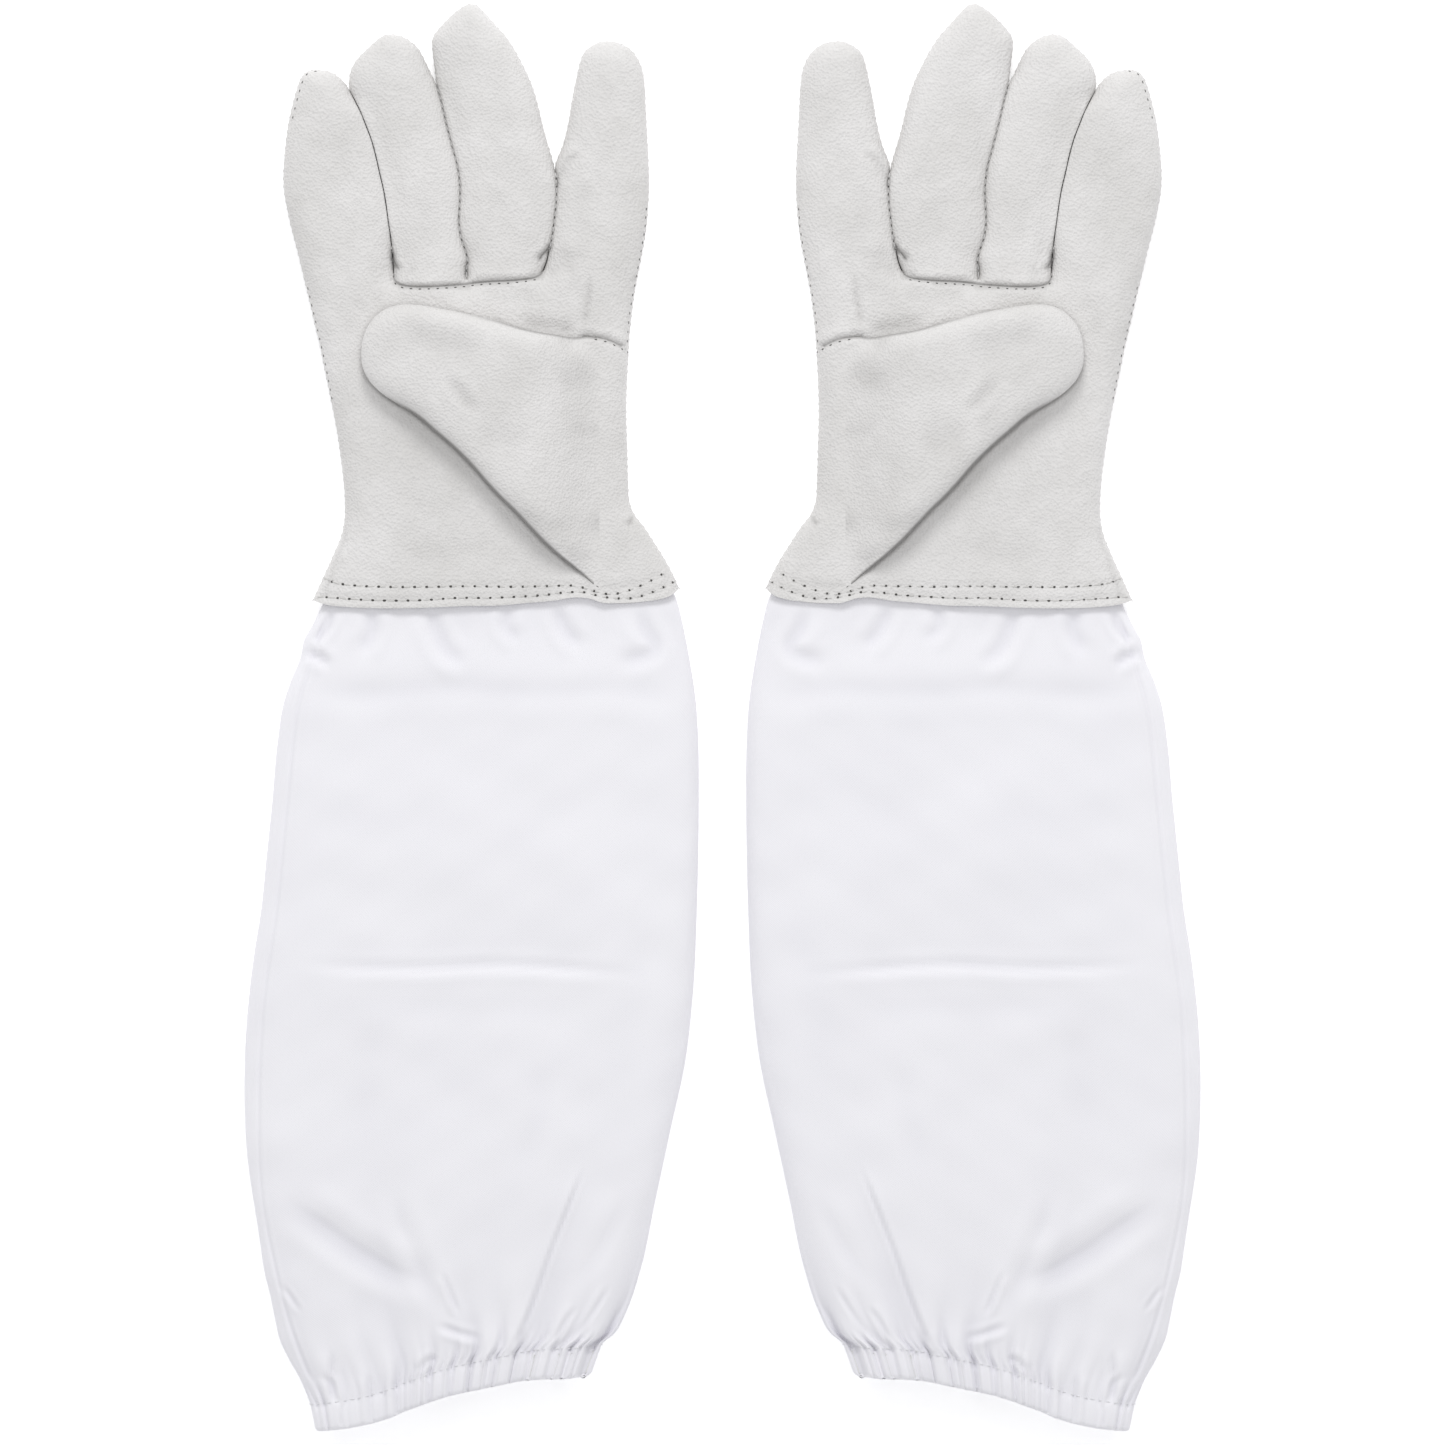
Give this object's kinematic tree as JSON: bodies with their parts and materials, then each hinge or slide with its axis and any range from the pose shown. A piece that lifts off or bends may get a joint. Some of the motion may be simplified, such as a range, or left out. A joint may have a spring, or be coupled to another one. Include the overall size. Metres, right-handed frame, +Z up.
{
  "type": "beekeeping gloves",
  "caption": "Long protective gloves for beekeeping: soft leather hands with a separate thumb, and canvas sleeves with elastic hems that close over the forearms.",
  "frame": {"origin": "on the table under the gloves, midway between them and midway along their length", "axes": "+X towards the left glove, +Y towards the fingertips, +Z up, out of the palms; both gloves lie palm up"},
  "size_m": [0.3416, 0.513, 0.0266],
  "materials": {
    "leather": "fine natural grain, matt",
    "canvas": "plain-woven cotton canvas, matt",
    "thread": "twisted sewing thread",
    "elastic": "covered elastic band"
  },
  "bodies": {
    "right_hand": {"right_palm_panel": "leather", "right_back_panel": "leather", "right_thumb_wing": "leather", "right_sleeve_lap": "canvas", "right_cuff_stitches": "thread", "right_knuckle_stitches": "thread", "right_thumb_stitches": "thread"},
    "right_index": {"right_index_front": "leather", "right_index_back": "leather"},
    "right_middle": {"right_middle_front": "leather", "right_middle_back": "leather"},
    "right_ring": {"right_ring_front": "leather", "right_ring_back": "leather"},
    "right_little": {"right_little_front": "leather", "right_little_back": "leather"},
    "right_thumb": {"right_thumb_front": "leather", "right_thumb_back": "leather"},
    "right_upper_sleeve": {"right_sleeve_upper": "canvas"},
    "right_lower_sleeve": {"right_sleeve_lower": "canvas", "right_hem_casing": "canvas", "right_hem_elastic": "elastic", "right_hem_stitches": "thread"},
    "left_hand": {"left_palm_panel": "leather", "left_back_panel": "leather", "left_thumb_wing": "leather", "left_sleeve_lap": "canvas", "left_cuff_stitches": "thread", "left_knuckle_stitches": "thread", "left_thumb_stitches": "thread"},
    "left_index": {"left_index_front": "leather", "left_index_back": "leather"},
    "left_middle": {"left_middle_front": "leather", "left_middle_back": "leather"},
    "left_ring": {"left_ring_front": "leather", "left_ring_back": "leather"},
    "left_little": {"left_little_front": "leather", "left_little_back": "leather"},
    "left_thumb": {"left_thumb_front": "leather", "left_thumb_back": "leather"},
    "left_upper_sleeve": {"left_sleeve_upper": "canvas"},
    "left_lower_sleeve": {"left_sleeve_lower": "canvas", "left_hem_casing": "canvas", "left_hem_elastic": "elastic", "left_hem_stitches": "thread"}
  },
  "joints": [
    {"name": "right_index_flex", "type": "hinge", "parent": "right_hand", "child": "right_index", "pos_m": [-0.0488, 0.157, 0.0143], "axis": [1, 0, 0], "range_deg": [0, 90]},
    {"name": "right_middle_flex", "type": "hinge", "parent": "right_hand", "child": "right_middle", "pos_m": [-0.079, 0.157, 0.0143], "axis": [1, 0, 0], "range_deg": [0, 90]},
    {"name": "right_ring_flex", "type": "hinge", "parent": "right_hand", "child": "right_ring", "pos_m": [-0.10545, 0.157, 0.0143], "axis": [1, 0, 0], "range_deg": [0, 90]},
    {"name": "right_little_flex", "type": "hinge", "parent": "right_hand", "child": "right_little", "pos_m": [-0.13465, 0.157, 0.0143], "axis": [1, 0, 0], "range_deg": [0, 90]},
    {"name": "right_thumb_swing", "type": "hinge", "parent": "right_hand", "child": "right_thumb", "pos_m": [-0.0466, 0.092, 0.0143], "axis": [0, 1, 0], "range_deg": [0, 110]},
    {"name": "right_wrist_fold", "type": "hinge", "parent": "right_hand", "child": "right_upper_sleeve", "pos_m": [-0.082, 0.0405, 0.0143], "axis": [-1, 0, 0], "range_deg": [0, 100]},
    {"name": "right_sleeve_fold", "type": "hinge", "parent": "right_upper_sleeve", "child": "right_lower_sleeve", "pos_m": [-0.09001, -0.0895, 0.0143], "axis": [1, 0, 0], "range_deg": [-165, 0]},
    {"name": "left_index_flex", "type": "hinge", "parent": "left_hand", "child": "left_index", "pos_m": [0.0488, 0.157, 0.0143], "axis": [1, 0, 0], "range_deg": [0, 90]},
    {"name": "left_middle_flex", "type": "hinge", "parent": "left_hand", "child": "left_middle", "pos_m": [0.079, 0.157, 0.0143], "axis": [1, 0, 0], "range_deg": [0, 90]},
    {"name": "left_ring_flex", "type": "hinge", "parent": "left_hand", "child": "left_ring", "pos_m": [0.10545, 0.157, 0.0143], "axis": [1, 0, 0], "range_deg": [0, 90]},
    {"name": "left_little_flex", "type": "hinge", "parent": "left_hand", "child": "left_little", "pos_m": [0.13465, 0.157, 0.0143], "axis": [1, 0, 0], "range_deg": [0, 90]},
    {"name": "left_thumb_swing", "type": "hinge", "parent": "left_hand", "child": "left_thumb", "pos_m": [0.0466, 0.092, 0.0143], "axis": [0, -1, 0], "range_deg": [0, 110]},
    {"name": "left_wrist_fold", "type": "hinge", "parent": "left_hand", "child": "left_upper_sleeve", "pos_m": [0.082, 0.0405, 0.0143], "axis": [-1, 0, 0], "range_deg": [0, 100]},
    {"name": "left_sleeve_fold", "type": "hinge", "parent": "left_upper_sleeve", "child": "left_lower_sleeve", "pos_m": [0.09001, -0.0895, 0.0143], "axis": [1, 0, 0], "range_deg": [-165, 0]},
    {"name": "left_glove_lift", "type": "slide", "parent": "right_hand", "child": "left_hand", "axis": [0, 0, 1], "range_m": [0, 0.3]}
  ]
}
